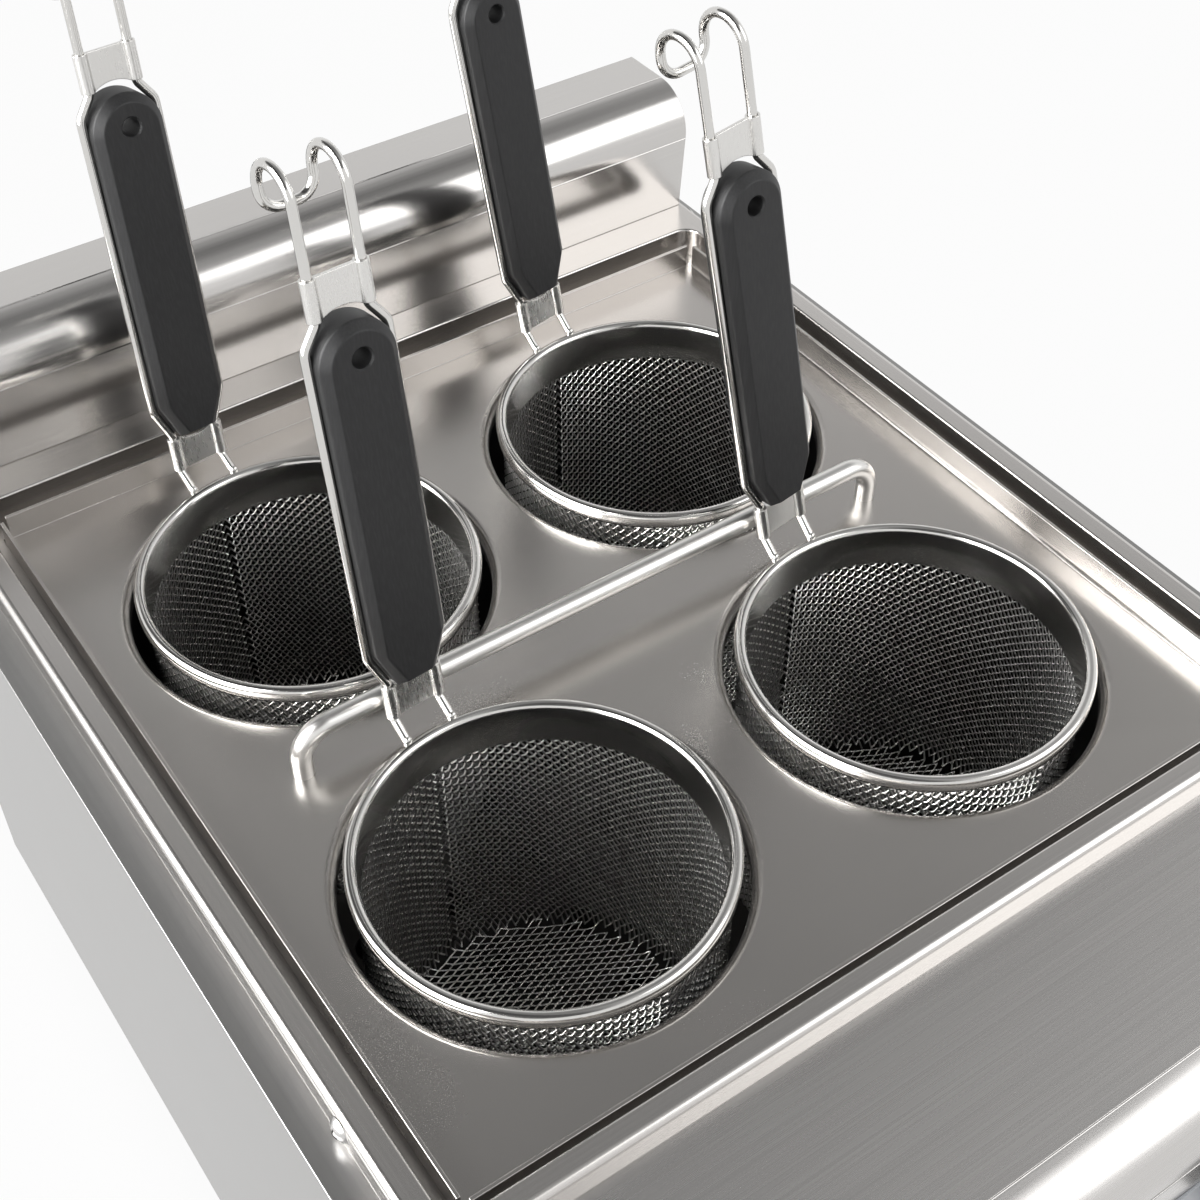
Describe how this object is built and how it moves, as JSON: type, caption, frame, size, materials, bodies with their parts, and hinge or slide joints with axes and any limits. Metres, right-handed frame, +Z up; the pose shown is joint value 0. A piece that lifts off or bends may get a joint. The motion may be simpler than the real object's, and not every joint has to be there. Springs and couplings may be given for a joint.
{
  "type": "countertop pasta cooker",
  "caption": "Countertop pasta cooker: steel casing with a heated tank, lift-out plate and round mesh baskets on upright hooked handles, with a rear splash and a front drain tap.",
  "frame": {"origin": "on the floor, under the middle of the whole outline", "axes": "+X to the right seen from the front, +Y to the rear with the front facing -Y, +Z up"},
  "size_m": [0.4, 0.5986, 0.4956],
  "materials": {
    "casing_steel": "satin brushed stainless sheet",
    "deck_steel": "satin stainless sheet with softly bent edges",
    "plate_steel": "satin stainless sheet, slightly smeared by use",
    "tank_steel": "satin stainless sheet",
    "bright_steel": "polished stainless",
    "element_steel": "heat-darkened steel sheath",
    "copper": "bare drawn copper",
    "cream_plastic": "moulded heat-proof plastic",
    "black_plastic": "fine-textured moulded plastic",
    "knob_plastic": "semi-gloss moulded plastic",
    "plated_brass": "nickel-plated brass",
    "red_plastic": "dipped soft plastic",
    "dial_grey": "satin grey lacquer",
    "lamp_lens": "translucent lens",
    "black_rubber": "moulded rubber",
    "rim_steel": "polished stainless",
    "mesh_steel": "woven stainless wire cloth",
    "wire_steel": "polished stainless wire and sheet",
    "grip_wood": "matt black paint over wood grain"
  },
  "bodies": {
    "casing": {"left_side_panel": "casing_steel", "right_side_panel": "casing_steel", "rear_panel": "casing_steel", "front_panel": "casing_steel", "base_pan": "casing_steel", "deck_frame": "deck_steel", "back_splash": "deck_steel", "tank": "tank_steel", "false_bottom": "tank_steel", "element_rack": "bright_steel", "element_terminals": "bright_steel", "foot_studs": "bright_steel", "deck_screws": "bright_steel", "rear_screws": "bright_steel", "heating_element": "element_steel", "thermostat_bulb": "copper", "capillary_tube": "copper", "thermostat": "cream_plastic", "contactor": "cream_plastic", "terminal_block": "cream_plastic", "high_limit_cutout": "black_plastic", "cable_gland": "black_plastic", "switch_bezel": "black_plastic", "drain_pipe": "plated_brass", "drain_locknut": "plated_brass", "drain_valve_body": "plated_brass", "drain_spout": "plated_brass", "dial_plate": "dial_grey", "indicator_lamps": "lamp_lens", "feet": "black_rubber"},
    "support": {"support_plate": "plate_steel", "plate_handle": "bright_steel"},
    "knob": {"control_knob": "knob_plastic", "thermostat_shaft": "bright_steel"},
    "rocker": {"power_rocker": "black_plastic"},
    "drain_handle": {"drain_lever": "plated_brass", "drain_lever_sleeve": "red_plastic", "drain_stem": "plated_brass", "drain_ball": "plated_brass"},
    "front_left_basket": {"front_left_rim": "rim_steel", "front_left_mesh": "mesh_steel", "front_left_wire": "wire_steel", "front_left_clips": "wire_steel", "front_left_grip": "grip_wood"},
    "front_right_basket": {"front_right_rim": "rim_steel", "front_right_mesh": "mesh_steel", "front_right_wire": "wire_steel", "front_right_clips": "wire_steel", "front_right_grip": "grip_wood"},
    "rear_left_basket": {"rear_left_rim": "rim_steel", "rear_left_mesh": "mesh_steel", "rear_left_wire": "wire_steel", "rear_left_clips": "wire_steel", "rear_left_grip": "grip_wood"},
    "rear_right_basket": {"rear_right_rim": "rim_steel", "rear_right_mesh": "mesh_steel", "rear_right_wire": "wire_steel", "rear_right_clips": "wire_steel", "rear_right_grip": "grip_wood"}
  },
  "joints": [
    {"name": "plate_lift", "type": "slide", "parent": "casing", "child": "support", "axis": [0, 0, 1], "range_m": [0, 0.15]},
    {"name": "front_left_lift", "type": "slide", "parent": "support", "child": "front_left_basket", "axis": [0, 0, 1], "range_m": [0, 0.14]},
    {"name": "front_right_lift", "type": "slide", "parent": "support", "child": "front_right_basket", "axis": [0, 0, 1], "range_m": [0, 0.14]},
    {"name": "rear_left_lift", "type": "slide", "parent": "support", "child": "rear_left_basket", "axis": [0, 0.0489, 0.9988], "range_m": [0, 0.14]},
    {"name": "rear_right_lift", "type": "slide", "parent": "support", "child": "rear_right_basket", "axis": [0, 0.0489, 0.9988], "range_m": [0, 0.14]},
    {"name": "knob_turn", "type": "hinge", "parent": "casing", "child": "knob", "pos_m": [0.08, -0.24475, 0.19], "axis": [0, 1, 0], "range_deg": [0, 270]},
    {"name": "rocker_tilt", "type": "hinge", "parent": "casing", "child": "rocker", "pos_m": [-0.1, -0.24325, 0.178], "axis": [1, 0, 0], "range_deg": [0, 18]},
    {"name": "drain_turn", "type": "hinge", "parent": "casing", "child": "drain_handle", "pos_m": [-0.12, -0.26075, 0.1], "axis": [0, 0, -1], "range_deg": [0, 90]}
  ]
}
